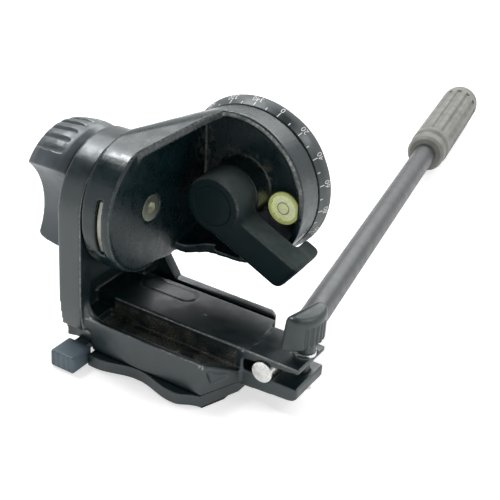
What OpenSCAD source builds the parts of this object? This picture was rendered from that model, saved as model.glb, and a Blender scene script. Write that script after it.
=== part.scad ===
// Fluid video head with pan bar, lying on its camera plate as it is put down on a table.
// X runs along the tilt axis, from the tilt knob to the handle clamp.
// Y runs from the front of the platform to the grip, Z is up.
// The origin is the middle of the camera plate's pad face, under the tilt and pan axes.

/* [Camera plate] */
// Thickness of the rubber pad
pad_t = 1; // [0.6:0.2:3]
// Thickness of the plate below the platform
plate_t = 5; // [4:0.5:8]
// Left end of the plate, from the pan axis
plate_left = 29.2; // [24:0.2:29.4]
// Back edge of the plate, from the tilt axis
plate_back = 25; // [18:0.5:30]
// How far the finger lobes of the front edge stand out
lobe_out = 4; // [0:0.5:6]
// Pitch of the finger lobes
lobe_pitch = 38; // [30:1:44]
// Height of the dovetail tongue
tongue_h = 4; // [3:0.5:5]
// Half width of the tongue at its top
tongue_half = 17.5; // [14:0.5:20]
// Camera screw thread radius
screw_r = 3.175; // [3.175, 4.7625]

/* [Platform] */
// Height of the front wall
wall_h = 14; // [12:0.5:18]
// Thickness of the front wall
wall_t = 2.6; // [2:0.2:4]
// Front face of the platform, from the tilt axis
front_y = 24.4; // [20:0.2:30]
// Back face of the platform, from the tilt axis
back_y = 29.2; // [28:0.2:36]
// Front right corner of the platform, from the pan axis
corner_x = 23; // [15:0.5:26]
// Depth of the tray behind the front wall
tray_depth = 7.5; // [4:0.5:8]
// How far the raised bar stands above the front wall
bar_rise = 1.4; // [0:0.2:4]
// Right end of the bar, from the pan axis
bar_end = 30.2; // [28:0.2:34]
// Front edge of the bar, before the tilt axis
bar_front = 6.6; // [4:0.2:10]
// Back edge of the bar, behind the tilt axis
bar_back = 19.6; // [16:0.2:23]
// Width of the groove behind the bar
groove_w = 5; // [3:0.5:7]
// Height of the back rail below the bar
rail_drop = 2; // [0:0.5:5]

/* [Arm and tilt axis] */
// Height of the tilt axis above the platform's underside
axis_h = 58.5; // [56:0.5:70]
// Inner face of the arm, from the pan axis
arm_x = 33.8; // [33:0.2:40]
// Thickness of the arm
arm_t = 11; // [8:0.2:14]
// Radius of the arm's round head
arm_r = 27.2; // [24:0.2:30]
// Radius of the corner between arm and front wall
corner_r = 9; // [5:0.5:12]
// Radius of the spigot that carries the body
spigot_r = 20; // [16:0.5:21]
// Length of the spigot
spigot_l = 9.6; // [7:0.2:10]
// Radius of the tilt axle
axle_r = 4; // [3:0.5:5]
// Radius of the axle's screw head
axle_head_r = 5.5; // [5:0.25:7]
// Wall of the axle bush
bush_t = 2; // [1:0.5:3]
// How far the base is lifted above level, in degrees
tilt_rest = 2.4; // [0:0.1:10]

/* [Tilt body] */
// Radius of the tilt drum
drum_r = 27.4; // [26:0.2:31]
// Width of the tilt drum
drum_w = 13.5; // [12.5:0.1:16]
// Gap between arm and drum
seam = 0.6; // [0.3:0.1:1.5]
// Wall of the pale friction sleeve
sleeve_t = 4; // [2:0.5:4.5]
// Width of the slot that shows the sleeve
slot_w = 2.8; // [1.5:0.1:4]
// Thickness of the friction discs
disc_t = 0.5; // [0.3:0.1:1]
// Rounding of the drum's inner edge
edge_r = 2; // [0.5:0.25:3]

/* [Pan body and base] */
// How far the pan axis passes above the tilt axis
pan_rise = 1.5; // [0:0.25:3]
// Flat top of the pan body, from the tilt axis
face_y = 37.2; // [34:0.2:42]
// Radius of the rim round the pan top, at its front edge
rim_r = 32.6; // [31:0.2:35]
// Rise of the neck's shell above that rim
rim_lift = 2.2; // [0:0.1:3]
// Depth of the pocket inside that rim
rim_h = 8.6; // [8:0.2:10]
// Wall of the rim
rim_t = 2.4; // [2:0.1:3]
// Wall of the neck's lip
lip_t = 3.2; // [2.6:0.1:4]
// Radius of the pan body at its seam
disc_r = 32.6; // [32:0.2:36]
// Length of the bevel from the flat top to the seam
bevel_l = 4.9; // [4.6:0.1:8]
// Height of the boss under the lever
boss_h = 9.6; // [5:0.2:12]
// Radius of the pan spindle
spindle_r = 5; // [4:0.5:6]
// Largest radius of the base
base_r = 34.8; // [33:0.2:40]
// Length of the conical scale
scale_l = 6.4; // [5:0.2:10]
// Thickness of the base's foot behind the scale
foot_l = 8; // [6:0.5:14]
// Radius of the tripod thread
tripod_r = 4.7625; // [3.175, 4.7625]
// Length of the tripod thread
tripod_l = 11; // [8:0.5:12]

/* [Pan lever and level] */
// Radius of the lever's hub
hub_r = 12.4; // [11:0.1:12.6]
// Height of the lever's hub
hub_h = 14; // [10:0.2:16]
// Reach of the lever from the pan axis
lever_reach = 43.6; // [42:0.2:48]
// Width of the lever
lever_w = 14.5; // [10:0.5:16]
// Extra depth of the hooked tip
hook_d = 5.5; // [0:0.5:8]
// Length of the hooked tip
hook_l = 8; // [4:0.2:8.4]
// Angle of the lever below level, in degrees
lever_angle = 25.6; // [10:0.2:40]
// Radius of the spirit level
level_r = 7; // [5:0.25:7.5]
// Distance of the level from the pan axis
level_at = 20.2; // [18:0.1:20.6]
// Angle of the level below level, in degrees
level_angle = 15; // [0:1:30]
// Depth of the level's cup
level_d = 3.8; // [3:0.1:4]

/* [Tilt knob] */
// Radius of the knob's lobes
knob_r = 27.2; // [22:0.2:30]
// Length of the knob
knob_l = 19.5; // [14:0.5:24]
// Radius at the waist between the lobes
knob_waist = 12; // [12:0.5:18]
// Angle from one lobe's edge to the next, in degrees
knob_gap = 88; // [60:1:90]
// Grooves on each lobe
knob_grooves = 6; // [3:1:7]
// Angle between those grooves
knob_step = 11.5; // [8:0.5:14]
// Angle of the upper lobe's middle, in degrees
knob_turn = 97; // [0:1:180]

/* [Handle clamp] */
// Length of the clamp beyond the bar
jaw_w = 25; // [24:0.2:32]
// Depth of the clamp
jaw_d = 22; // [18:0.5:28]
// Height of the clamp
jaw_h = 16.8; // [15:0.2:20]
// Width of the clamp's split
split_h = 4.6; // [3:0.2:6]
// Rod bore, from the bar's end
rod_at = 9.5; // [7:0.1:12]
// Radius of the handle's rod
rod_r = 4.45; // [3.5:0.05:5.5]
// Clamp bolt, from the bar's end
bolt_at = 20.3; // [19:0.1:22]
// Radius of the clamp bolt
bolt_r = 2.5; // [2:0.25:3]
// Radius of the clamp washer
washer_r = 4.6; // [4:0.1:6]
// Height of the wing knob
wing_h = 18; // [12:0.5:22]
// Length of the wing knob
wing_l = 20; // [14:0.5:24]
// Width of the wing knob
wing_w = 8.5; // [7:0.5:12]

/* [Handle] */
// Radius of the handle tube
tube_r = 6; // [5:0.25:7]
// Length from the bend to the grip
tube_l = 219; // [150:1:300]
// Length of the grip
grip_l = 102; // [90:1:150]
// Radius of the grip
grip_r = 11.2; // [9:0.1:12]
// Splay of the tube towards the body, in degrees
splay = 9.7; // [5:0.1:15]
// Drop of the tube towards the grip, in degrees
drop = 0.55; // [0:0.05:0.6]
// Ribs round the grip
grip_ribs = 12; // [8:1:20]

/* [Release lever] */
// Width of the finger block
block_w = 11.8; // [8:0.2:12]
// Depth of the finger block
block_d = 12; // [8:0.2:16]
// Height of the finger block
block_h = 7.6; // [5:0.2:9]
// Thickness of the lever
lever_t = 3.6; // [2.5:0.1:4.2]
// Radius of the release pivot pin
pivot_r = 2; // [1.5:0.25:3]

/* [Fits] */
// Running clearance of turning fits
run = 0.05; // [0.02:0.01:0.1]
// Gap between flat faces that pass each other
gap = 0.3; // [0.2:0.05:0.6]

/* [Hidden] */
$fn = 72;
black = [0.09, 0.10, 0.11];
grey = [0.30, 0.31, 0.32];
silver = [0.78, 0.78, 0.76];

// Levels above the table
under = pad_t + plate_t;
wall_top = under + wall_h;
bar_top = wall_top + bar_rise;
rail_top = bar_top - rail_drop;
floor_z = wall_top - tray_depth;
tilt_z = under + axis_h;
tongue_top = under + tongue_h;
channel_top = tongue_top + gap;
// Places along X
arm_out = -arm_x - arm_t;
drum_left = -arm_x + seam;
drum_right = drum_left + drum_w;
spigot_end = -arm_x + spigot_l;
web_left = spigot_end + disc_t + 2 * run;
head_t = 2.2;
knob_right = arm_out - 1.2;
knob_left = knob_right - knob_l;
axle_end = knob_left + 5;
// Places along the pan axis, from the tilt axis
seam_y = face_y + bevel_l;
base_y = seam_y + gap;
foot_y = base_y + scale_l + foot_l;
foot_r = base_r - 5;
boss_y = face_y - boss_h;
hub_y = boss_y - gap;
hub_top = hub_y - hub_h;
spindle_top = hub_top + 4;
lever_low = -11.4;
spigot_h = 2.5;
seat_r = spindle_r + 7;
rim_y = face_y - rim_h;
lip_start = -0.33 * drum_r;
lip_end = drum_right + 0.5 * drum_r;
// Places of the clamp
jaw_end = bar_end + jaw_w;
jaw_bottom = bar_top - jaw_h;
rod_x = bar_end + rod_at;
split_low = bar_top - 8.9;
rod_z = split_low + split_h / 2;
bore_r = rod_r + run;
bolt_x = bar_end + bolt_at;
bolt_y = -bar_front + 13.6;
washer_t = 1;
wing_z = bar_top + washer_t;
wing_foot = 1.6;
wing_flat = 3.4;
wing_bow_r = wing_l * 0.75;
wing_bow_x = wing_w - wing_flat - wing_bow_r;
bend_y = -bar_front + jaw_d + tube_r;
// Bend of the handle tube, turned out of level by the drop
bend_angle = acos(cos(splay) * cos(drop));
bend_roll = atan2(sin(drop), sin(splay) * cos(drop));
bend_run = tube_r - 0.4;
bend_r = bend_run / tan(bend_angle / 2);
// Places of the release lever, under the arm
pivot_x = -arm_x - 4.4;
pivot_y = -8;
block_y = -front_y - 0.3 - block_d;
block_x = -arm_x + 3.8 - block_w;
lever_z = under - gap - lever_t;
// Places of the camera screw
head_z = under + 0.6;
washer_z = head_z - 0.9;
screw_head_r = 7;

// Cylinder along X between two places
module along_x(x0, x1, r) {
    translate([x0, 0, 0]) rotate([0, 90, 0]) cylinder(h = x1 - x0, r = r);
}
// Cylinder along Y between two places
module along_y(y0, y1, r) {
    translate([0, y0, 0]) rotate([-90, 0, 0]) cylinder(h = y1 - y0, r = r);
}
// Ring along Y between two places
module ring_y(y0, y1, r_out, r_in) {
    difference() {
        along_y(y0, y1, r_out);
        along_y(y0 - 1, y1 + 1, r_in);
    }
}
// Ring along X between two places
module ring_x(x0, x1, r_out, r_in) {
    difference() {
        along_x(x0, x1, r_out);
        along_x(x0 - 1, x1 + 1, r_in);
    }
}
// Profile of radius and place, turned round the Y axis
module turned_y(points) {
    rotate([-90, 0, 0]) rotate_extrude() polygon(points);
}
// Profile of radius and place, turned round the X axis
module turned_x(points) {
    rotate([0, 90, 0]) rotate_extrude() polygon(points);
}
// Pieces of the tilting body: the tilt axis is X, the pan axis is Y
module on_body() {
    translate([0, 0, tilt_z]) rotate([tilt_rest, 0, 0]) children();
}
// Pieces that turn about the pan axis: it is Y
module on_pan() {
    on_body() translate([0, 0, pan_rise]) children();
}
// Box between two corners
module block(low, high) {
    translate(low) cube([high[0] - low[0], high[1] - low[1], high[2] - low[2]]);
}

// Outline of the platform seen from above: its right end leans back to the clamp
module platform_plan() {
    polygon([[arm_out, -front_y], [corner_x, -front_y], [bar_end, -bar_front], [bar_end, bar_back - 2],
        [bar_end - 4, back_y - 2.5], [bar_end - 7, back_y], [arm_out, back_y]]);
}
// Dovetail outline, wider at its top, grown by a clearance
module dovetail(grow, top) {
    taper = 2.6;
    narrow = tongue_half - taper + grow;
    wide = tongue_half + taper * (top - tongue_top) / tongue_h + grow;
    polygon([[-narrow, under - 1], [narrow, under - 1], [narrow, under], [wide, top], [-wide, top],
        [-narrow, under]]);
}
// Side outline of the arm: round head, front edge curving back to the platform
module arm_side() {
    bow = 4;
    curve_h = 26;
    steps = 10;
    front = [for (i = [0:steps]) let (t = i / steps)
        [-front_y - (arm_r - front_y) + bow * (1 - t) * (1 - t), under + curve_h * t]];
    polygon(concat([[arm_r, tilt_z], [arm_r, under]], front, [[-arm_r, tilt_z]]));
    translate([0, tilt_z]) circle(r = arm_r);
}
// Clamp seen from the front: tapered upper jaw, straight lower jaw
module clamp_front() {
    lip = 2;
    difference() {
        polygon([[bar_end - 1, under + 0.4], [bar_end - 0.1, under - 0.1], [bar_end - 0.1, jaw_bottom],
            [jaw_end - 2, jaw_bottom + 1.6], [jaw_end, jaw_bottom + 3], [jaw_end, bar_top],
            [bar_end - 1, bar_top]]);
        polygon([[bar_end + 0.5, split_low], [jaw_end + 1, split_low], [jaw_end + 1, bar_top - lip],
            [bar_end + 0.5, split_low + split_h]]);
    }
}
// Bracket that carries everything: arm, platform and clamp in one casting
module platform_bracket() color(black) difference() {
    union() {
        translate([arm_out, 0, 0]) rotate([90, 0, 90]) linear_extrude(arm_t) arm_side();
        translate([0, 0, under]) linear_extrude(rail_top - under) platform_plan();
        translate([0, 0, under]) linear_extrude(wall_h) intersection() {
            platform_plan();
            translate([-100, -100]) square([200, 100 - bar_front]);
        }
        block([arm_out, -bar_front, under], [bar_end, bar_back, bar_top]);
        translate([0, -bar_front, 0]) intersection() {
            rotate([90, 0, 0]) mirror([0, 0, 1]) linear_extrude(jaw_d) clamp_front();
            translate([bar_end - 2, jaw_d / 2, 0]) cylinder(h = 60, r = jaw_w + 5);
        }
        translate([-arm_x, -front_y, wall_top]) rotate([90, 0, 0]) mirror([0, 0, 1])
            linear_extrude(wall_t) difference() {
                square(corner_r);
                translate([corner_r, corner_r]) circle(r = corner_r);
            }
        translate([0, back_y, 0]) rotate([90, 0, 0]) linear_extrude(back_y - bar_back - groove_w)
            polygon([[-arm_x - 1, rail_top - 1], [-arm_x + 11.6, rail_top - 1], [-arm_x + 10.6, rail_top],
                [-arm_x + 5.6, rail_top + 7.6], [-arm_x, rail_top + 17], [-arm_x - 1, rail_top + 17]]);
        translate([0, 0, tilt_z]) along_x(-arm_x - 1, spigot_end, spigot_r);
    }
    // Tray between the front wall and the bar, open over the slanted right end
    translate([0, 0, floor_z]) linear_extrude(60) intersection() {
        translate([-arm_x, -front_y + wall_t]) square([arm_x + bar_end, front_y - wall_t - bar_front]);
        polygon([[-arm_x, -front_y + wall_t], [corner_x - wall_t, -front_y + wall_t], [bar_end - wall_t, -bar_front],
            [-arm_x, -bar_front]]);
    }
    // Right end wall slopes down to the clamp
    intersection() {
        translate([corner_x, -front_y, wall_top]) rotate([0, 0, -22]) rotate([-24, 0, 0])
            translate([-wall_t - 1, 0.5, 0]) cube([20, 25, 15]);
        block([0, -front_y - 1, under], [bar_end + 2, -bar_front, 60]);
    }
    // Triangular sunk panel on the outside of that end wall
    translate([corner_x, -front_y, 0]) rotate([0, 0, atan2(front_y - bar_front, bar_end - corner_x)])
        translate([0, 0.8, 0]) rotate([90, 0, 0]) linear_extrude(3)
            polygon([[1.9, 17.4], [14.6, 10.9], [4.6, 10.3]]);
    // Hollow in the arm's inner side, behind its front edge and over the end of the bar
    block([-arm_x - 8.4, -front_y + 4, floor_z + 3.5], [-arm_x + 1, -bar_front + 1, floor_z + 22]);
    block([-arm_x - 8.4, -bar_front, bar_top], [-arm_x + 1, bar_back - 4, floor_z + 22]);
    // Round pocket in the tray floor
    translate([7, -15, floor_z - 1]) cylinder(h = 6, r = 5);
    // Groove behind the bar, and the rail's lower top
    block([-arm_x, bar_back, rail_top - 6], [bar_end + 1, bar_back + groove_w, 60]);
    // Sunk oblong pad on the bar
    translate([-18.3, bar_back - 6.6, bar_top - 0.6]) linear_extrude(2) difference() {
        oblong(28, 10);
        oblong(26, 8);
    }
    // Bowed groove where the bar ends and the clamp begins
    intersection() {
        translate([bar_end - 58.4, 6, bar_top - 0.6]) difference() {
            cylinder(h = 2, r = 60.8);
            translate([0, 0, -1]) cylinder(h = 4, r = 59.9);
        }
        block([bar_end - 4, -bar_front - 1, bar_top - 3], [bar_end + 6, bar_back + 3, bar_top + 3]);
    }
    // Dovetail channel, open to the back
    translate([0, -front_y + wall_t + 1, 0]) rotate([90, 0, 0]) mirror([0, 0, 1])
        linear_extrude(100) dovetail(run, channel_top);
    // Axle bore, rod bore, clamp bolt, nut pocket and washer seat
    translate([0, 0, tilt_z]) along_x(arm_out - 1, spigot_end + 1, axle_r + run + bush_t);
    translate([rod_x, 0, rod_z]) along_y(-bar_front - 1, jaw_d, bore_r);
    translate([bolt_x, bolt_y, 0]) {
        cylinder(h = 60, r = bolt_r + run);
        translate([0, 0, bar_top - 0.4]) cylinder(h = 9, r = washer_r + 0.6);
        translate([0, 0, jaw_bottom - 1]) cylinder(h = 5.2, r = 4.4, $fn = 6);
    }
    // Pivot hole and finger hollow of the release lever
    translate([pivot_x, pivot_y, 0]) cylinder(h = under + 8, r = pivot_r);
    translate([-arm_x - 5, -front_y - 7, under - 2.8]) rotate([8, 0, 0]) cylinder(h = 9.8, r = 11.6);
}
module oblong(l, w) {
    translate([-l / 2 + w / 2, -w / 2]) square([l - w, w]);
    for (s = [-1, 1]) translate([s * (l - w) / 2, 0]) circle(d = w);
}
module axle_bush() color("tan") translate([0, 0, tilt_z])
    ring_x(arm_out, spigot_end, axle_r + run + bush_t, axle_r + run);
module clamp_nut() color(silver) translate([bolt_x, bolt_y, jaw_bottom + 0.8]) difference() {
    cylinder(h = 3.4, r = 4.4, $fn = 6);
    translate([0, 0, -1]) cylinder(h = 6, r = bolt_r + run);
}
module release_pin() color(silver) translate([pivot_x, pivot_y, 0.6]) {
    cylinder(h = under + 7.4, r = pivot_r);
    cylinder(h = lever_z - 0.6 - gap, r = pivot_r + 1);
}
// Flat coil of spring wire round the pivot, in the lever's hollow
module release_spring() color(silver) translate([pivot_x, pivot_y, lever_z + lever_t - 1]) difference() {
    cylinder(h = 1, r = pivot_r + 1.4);
    translate([0, 0, -1]) cylinder(h = 3, r = pivot_r);
}

// Tilting body: drum, neck and round pan top in one casting
module body_casting() color(black) on_body() difference() {
    union() {
        drum();
        difference() {
            union() {
                // Front edge of the neck's shell: a long lip above, a short skirt below
                intersection() {
                    neck();
                    union() {
                        linear_extrude(100) polygon([[drum_left, -60], [drum_right, -60], [drum_right, lip_start],
                            [lip_end, rim_y], [60, rim_y], [60, 80], [drum_left, 80]]);
                        translate([0, 0, -100]) linear_extrude(100.1) polygon([[drum_left, -60], [drum_right, -60],
                            [drum_right, rim_y - 11], [lip_end - 12, rim_y - 10.8], [lip_end - 10, rim_y - 10],
                            [lip_end - 8, rim_y - 8], [lip_end - 6, rim_y - 5.4], [lip_end - 4, rim_y - 3],
                            [lip_end - 1, rim_y - 1.2], [lip_end + 4, rim_y], [60, rim_y], [60, 80],
                            [drum_left, 80]]);
                    }
                }
                translate([0, 0, pan_rise]) along_y(face_y - 1, seam_y, disc_r - 1.5);
            }
            pocket();
        }
        translate([0, 0, pan_rise]) along_y(boss_y, face_y + 1, hub_r);
    }
    // Sleeve seat, axle bore and head seat
    along_x(drum_left - 1, web_left, spigot_r + run + sleeve_t);
    along_x(web_left - 1, drum_right + 1, axle_r);
    along_x(drum_right - head_t, drum_right + 1, axle_head_r);
    // Slot in the drum's rim that shows the sleeve
    rotate([0, 90, 0]) translate([0, 0, drum_right - 7]) rotate_extrude(angle = 52, start = 243)
        translate([spigot_r + 1, 0]) square([20, slot_w]);
    // Pan bush bore, spigot seat of the base, and level seat
    translate([0, 0, pan_rise]) {
        along_y(boss_y - 1, seam_y, spindle_r + run + bush_t);
        along_y(seam_y - spigot_h - gap, seam_y + 1, seat_r + run);
        level_place() along_y(-1, level_d, level_r);
    }
}
module drum() {
    turned_x([[0, drum_left], [drum_r - 0.6, drum_left], [drum_r, drum_left + 0.6], [drum_r, drum_right - edge_r],
        [drum_r - 0.3 * edge_r, drum_right - 0.3 * edge_r], [drum_r - edge_r, drum_right], [0, drum_right]]);
}
// Neck drawn from the drum to the rim round the pan top
module neck() hull() {
    translate([0, 0, pan_rise + 0.4]) along_x(drum_left + 0.2, drum_right - 0.3, drum_r - 0.1, $fn = 72);
    for (lift = [0, rim_lift])
        translate([0, 0, pan_rise + lift]) along_y(rim_y - 0.4, rim_y + 0.5, rim_r, $fn = 72);
    translate([0, 0, pan_rise]) along_y(seam_y - 1, seam_y, disc_r, $fn = 72);
}
// Pocket between the drum's face and the pan top, with a lip left all round
module pocket() intersection() {
    block([drum_right, -60, -60], [60, face_y, 60]);
    union() {
        hull() {
            translate([0, 0, pan_rise]) along_x(drum_left, drum_right, drum_r - lip_t, $fn = 48);
            translate([0, 0, pan_rise + rim_lift]) along_y(rim_y, face_y + 1, rim_r - lip_t, $fn = 48);
        }
        translate([0, 0, pan_rise]) along_y(rim_y - 1, face_y, rim_r - rim_t);
    }
}
module level_place() {
    translate([level_at * cos(level_angle), face_y, -level_at * sin(level_angle)]) children();
}
module tilt_sleeve() color("lightgrey") on_body()
    ring_x(drum_left + 0.2, web_left, spigot_r + run + sleeve_t, spigot_r + run);
module tilt_friction_disc() color("tan") on_body()
    ring_x(web_left - disc_t, web_left, spigot_r - 1, axle_r + run + bush_t + 0.5);
// Axle with its socket head flush in the drum
module tilt_axle() color(silver) on_body() difference() {
    union() {
        along_x(axle_end, drum_right - head_t, axle_r);
        along_x(drum_right - head_t, drum_right - 0.3, axle_head_r);
    }
    translate([drum_right - 1.8, 0, 0]) rotate([0, 90, 0]) cylinder(h = 5, r = 2.6, $fn = 6);
}
module pan_bush() color("tan") on_pan()
    ring_y(boss_y, seam_y - spigot_h - gap, spindle_r + run + bush_t, spindle_r + run);
module level_cup() color([0.75, 0.80, 0.25]) on_pan() level_place() difference() {
    along_y(-0.6, level_d, level_r);
    along_y(-1.6, level_d - 1.5, level_r - 1.2);
}
module level_fluid() color([0.80, 0.88, 0.30]) on_pan() level_place() difference() {
    along_y(0.6, level_d - 1.5, level_r - 1.2);
    along_y(-0.4, 1.4, level_r / 3 + 0.4);
}
module level_bubble() color("white") on_pan() level_place() along_y(0.6, 1.4, level_r / 3 + 0.4);
module level_window() color([0.9, 0.95, 0.8]) on_pan() level_place() along_y(-0.4, 0.6, level_r - 1.2);

// Base with its conical scale, the foot behind it and the spigot that turns in the body
module pan_base() color(grey) on_pan() difference() {
    turned_y([[0, seam_y - spigot_h], [seat_r, seam_y - spigot_h], [seat_r, base_y],
        [disc_r + 0.2, base_y], [base_r, base_y + scale_l - 0.6], [base_r - 0.6, base_y + scale_l],
        [foot_r, base_y + scale_l + 0.8], [foot_r, foot_y - 1.2], [foot_r - 1.2, foot_y], [0, foot_y]]);
    ring_y(base_y - 1, base_y + 1.5, disc_r - 5, seat_r + 5);
    along_y(seam_y - 20, foot_y - tripod_l, spindle_r);
    along_y(foot_y - tripod_l, foot_y + 1, tripod_r + 3.2);
    ring_y(foot_y - 0.6, foot_y + 1, foot_r - 2, tripod_r + 9);
}
module pan_spindle() color(silver) on_pan() along_y(spindle_top, foot_y - tripod_l, spindle_r);
module pan_friction_ring() color("tan") on_pan()
    ring_y(seam_y + 0.1, base_y + 1.5, disc_r - 5, seat_r + 5);
module tripod_bush() color("goldenrod") on_pan()
    ring_y(foot_y - tripod_l, foot_y, tripod_r + 3.2, tripod_r);
module base_pad() color([0.12, 0.12, 0.12]) on_pan()
    ring_y(foot_y - 0.6, foot_y + 0.6, foot_r - 2, tripod_r + 9);

// Lock lever: tall hub, straight arm and a hooked tip
module pan_lever() color(black) on_pan() difference() {
    union() {
        turned_y([[0, hub_top], [hub_r - 1, hub_top], [hub_r + 0.2, hub_top + 0.6], [hub_r + 0.6, hub_top + 1.8],
            [hub_r, hub_y], [0, hub_y]]);
        rotate([0, lever_angle, 0]) {
            block([0, hub_top, lever_low], [lever_reach, hub_y - 2.3, lever_low + lever_w]);
            block([lever_reach - hook_l, hub_top + 4, lever_low], [lever_reach, hub_y + hook_d, lever_low + lever_w]);
        }
    }
    // Seat of the nut, shallow seat of the plate, slope that thins the arm
    along_y(hub_top + 2, hub_y + 1, spindle_r + 4);
    along_y(hub_top - 1, hub_top + 0.8, hub_r - 4);
    rotate([0, lever_angle, 0]) {
        translate([lever_reach - 3, 0, lever_low]) rotate([0, 12, 0]) translate([0, 0, -20]) cube([20, 60, 60]);
    }
}
module lever_plate() color([0.05, 0.05, 0.05]) on_pan() along_y(hub_top + 0.1, hub_top + 0.8, hub_r - 4);
module lever_nut() color("goldenrod") on_pan()
    difference() {
        along_y(hub_top + 2, hub_y, spindle_r + 4);
        along_y(spindle_top - gap, hub_y + 1, spindle_r + run);
    }

// Two ribbed lobes with hollow flanks between them
module knob_outline() {
    half = knob_gap / 2;
    chord = knob_r * sin(half);
    sag = knob_r * cos(half) - knob_waist;
    flank_r = (chord * chord + sag * sag) / (2 * sag);
    difference() {
        circle(r = knob_r);
        for (s = [-1, 1]) translate([0, s * (knob_waist + flank_r)]) circle(r = flank_r);
    }
}
module tilt_knob() color([0.14, 0.15, 0.16]) on_body() difference() {
    rotate([knob_turn, 0, 0]) difference() {
        translate([knob_left, 0, 0]) rotate([90, 0, 90]) intersection() {
            linear_extrude(knob_l) knob_outline();
            rotate_extrude() polygon([[0, 0], [knob_r - 3, 0], [knob_r - 1.7, 1.2], [knob_r - 0.8, 4],
                [knob_r, 10], [knob_r, 13], [knob_r - 0.6, 16.5], [knob_r - 2, knob_l], [0, knob_l]]);
        }
        for (s = [0, 180], i = [0:knob_grooves - 1])
            rotate([s + (i - (knob_grooves - 1) / 2) * knob_step, 0, 0])
                translate([knob_right - 5, knob_r + 0.2, 0]) rotate([0, 0, 7]) along_x(-knob_l, 0, 1);
    }
    along_x(knob_left + 4, knob_right + 1, axle_r + 3);
    along_x(knob_left - 1, knob_left + 1.5, knob_waist - 4);
}
module knob_insert() color("goldenrod") on_body() difference() {
    along_x(knob_left + 4, knob_right, axle_r + 3);
    along_x(axle_end - gap, knob_right + 1, axle_r + run);
}
module knob_washer() color(silver) on_body() ring_x(knob_right, arm_out - 0.1, axle_r + 5, axle_r + run);
module knob_cap() color([0.10, 0.10, 0.11]) on_body() along_x(knob_left + 0.2, knob_left + 1.5, knob_waist - 4);

// Wing knob: flat on one long side, ribbed and bowed on the other, longer at its foot
module wing_knob() color([0.16, 0.17, 0.18]) translate([bolt_x, bolt_y, wing_z]) difference() {
    union() {
        rotate([0, 0, -13]) difference() {
            intersection() {
                translate([wing_bow_x, 0, wing_foot]) cylinder(h = wing_h - wing_foot, r = wing_bow_r);
                translate([-wing_flat, 0, 0]) rotate([90, 0, 90]) linear_extrude(wing_w)
                    polygon([[-wing_l / 2 - 2.2, 0], [wing_l / 2, 0], [wing_l / 2, wing_h], [-wing_l / 2, wing_h]]);
            }
            for (i = [-2:2]) translate([wing_bow_x, 0, 0]) rotate([0, 0, i * 10])
                translate([wing_bow_r + 0.2, 0, 0]) cylinder(h = wing_h - 4, r = 0.7);
        }
        cylinder(h = 4, r = washer_r - 0.5);
    }
    translate([0, 0, -1]) cylinder(h = wing_h - 4, r = bolt_r);
}
module clamp_bolt() color(silver) translate([bolt_x, bolt_y, 0])
    translate([0, 0, jaw_bottom + 1]) cylinder(h = wing_z + wing_h - 5 - jaw_bottom - 1, r = bolt_r);
module clamp_washer() color(silver) translate([bolt_x, bolt_y, bar_top - 0.4 + run]) difference() {
    cylinder(h = washer_t + 0.4 - run, r = washer_r);
    translate([0, 0, -1]) cylinder(h = 4, r = bolt_r);
}

// Frame of the handle's tube: its axis is Y, from the bend
module on_handle() {
    translate([rod_x, bend_y, rod_z]) rotate([-drop, 0, splay]) children();
}
module handle_rod() color(silver) translate([rod_x, 0, rod_z]) along_y(-bar_front - 0.6, bend_y - tube_r + 0.4, rod_r);
module handle_tube() color([0.12, 0.12, 0.13]) {
    on_handle() along_y(bend_run, tube_l + 20, tube_r);
}
module handle_bend() color([0.12, 0.12, 0.13])
    translate([rod_x, bend_y, rod_z]) rotate([0, -bend_roll, 0]) translate([-bend_r, -bend_run, 0])
        rotate_extrude(angle = bend_angle) translate([bend_r, 0]) circle(r = tube_r);
module handle_grip() color(grey) on_handle() difference() {
    turned_y([[tube_r, tube_l], [grip_r - 2, tube_l], [grip_r - 0.6, tube_l + 2], [grip_r - 0.6, tube_l + 8],
        [grip_r - 1.6, tube_l + 9.5], [grip_r, tube_l + 12], [grip_r, tube_l + grip_l - 8],
        [tube_r, tube_l + grip_l - 8]]);
    for (i = [0:grip_ribs - 1]) rotate([0, i * 360 / grip_ribs, 0])
        translate([grip_r + 0.4, 0, 0]) along_y(tube_l + 16, tube_l + grip_l - 14, 1.5);
}
module grip_end() color(grey) on_handle() {
    turned_y([[0, tube_l + 20], [tube_r, tube_l + 20], [tube_r, tube_l + grip_l - 8], [grip_r, tube_l + grip_l - 8],
        [grip_r - 0.5, tube_l + grip_l - 5], [grip_r - 2, tube_l + grip_l - 2.5], [grip_r - 5, tube_l + grip_l - 0.8],
        [0, tube_l + grip_l]]);
}

// Release lever: flat lever on the pivot, with a ribbed finger block in front
module release_lever() color([0.18, 0.20, 0.22]) difference() {
    union() {
        translate([pivot_x, pivot_y, lever_z]) cylinder(h = lever_t, r = 4.6);
        block([pivot_x - 2.6, block_y + 2, lever_z], [pivot_x + 3.4, pivot_y, lever_z + lever_t]);
        block([block_x, block_y, 0.4], [block_x + block_w, block_y + block_d, 0.4 + block_h]);
    }
    translate([pivot_x, pivot_y, 0]) {
        cylinder(h = 20, r = pivot_r + run);
        translate([0, 0, lever_z + lever_t - 1 - gap]) cylinder(h = 9, r = pivot_r + 1.8);
    }
    for (i = [0:3]) translate([block_x + 2 + i * (block_w - 4) / 3, block_y - 0.4, 1.6]) cylinder(h = 20, r = 0.7);
}

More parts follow.
